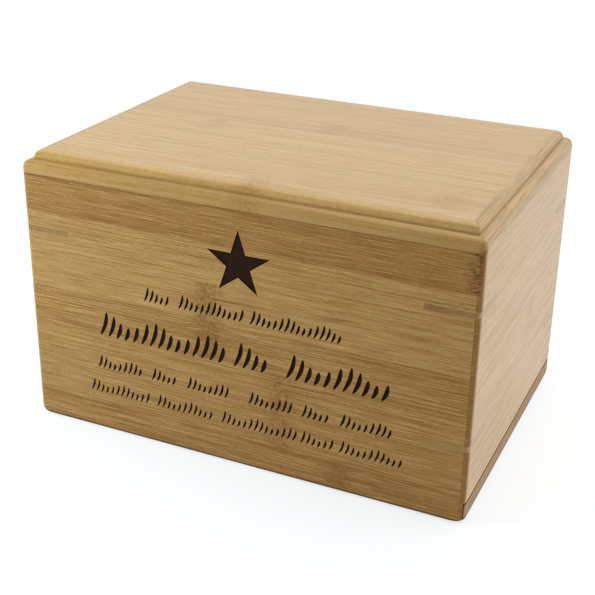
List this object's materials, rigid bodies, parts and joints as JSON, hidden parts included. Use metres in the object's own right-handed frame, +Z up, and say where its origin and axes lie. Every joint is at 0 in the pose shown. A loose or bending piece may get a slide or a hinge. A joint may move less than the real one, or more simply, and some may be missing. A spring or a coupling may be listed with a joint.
{
  "type": "cremation urn box",
  "caption": "Bamboo box urn with a moulded top, keyed mitred walls, a front engraved with a star and rows of strokes, and a base that slides out at one end.",
  "frame": {"origin": "middle of the box's underside, on the surface it stands on", "axes": "+Z up, +X along the width towards the end where the base slides out, -Y towards the engraved front"},
  "size_m": [0.254, 0.1764, 0.158],
  "materials": {
    "top_bamboo": "satin lacquered flat-pressed bamboo",
    "front_bamboo": "satin lacquered flat-pressed bamboo, caramel strips",
    "end_bamboo": "satin lacquered flat-pressed bamboo, pale strips",
    "base_bamboo": "sanded bamboo board",
    "strip_bamboo": "satin lacquered bamboo, reddish strip",
    "key_bamboo": "end-grain bamboo slip sanded flush"
  },
  "bodies": {
    "box": {"top_panel": "top_bamboo", "front_panel": "front_bamboo", "back_panel": "front_bamboo", "left_panel": "end_bamboo", "right_panel": "end_bamboo", "corner_key_front_left_lower": "key_bamboo", "corner_key_front_left_upper": "key_bamboo", "corner_key_front_right_lower": "key_bamboo", "corner_key_front_right_upper": "key_bamboo", "corner_key_back_right_lower": "key_bamboo", "corner_key_back_right_upper": "key_bamboo", "corner_key_back_left_lower": "key_bamboo", "corner_key_back_left_upper": "key_bamboo"},
    "base": {"base_board": "base_bamboo", "base_end_strip": "strip_bamboo"}
  },
  "joints": [
    {"name": "base_slide", "type": "slide", "parent": "box", "child": "base", "axis": [1, 0, 0], "range_m": [0, 0.2]}
  ]
}
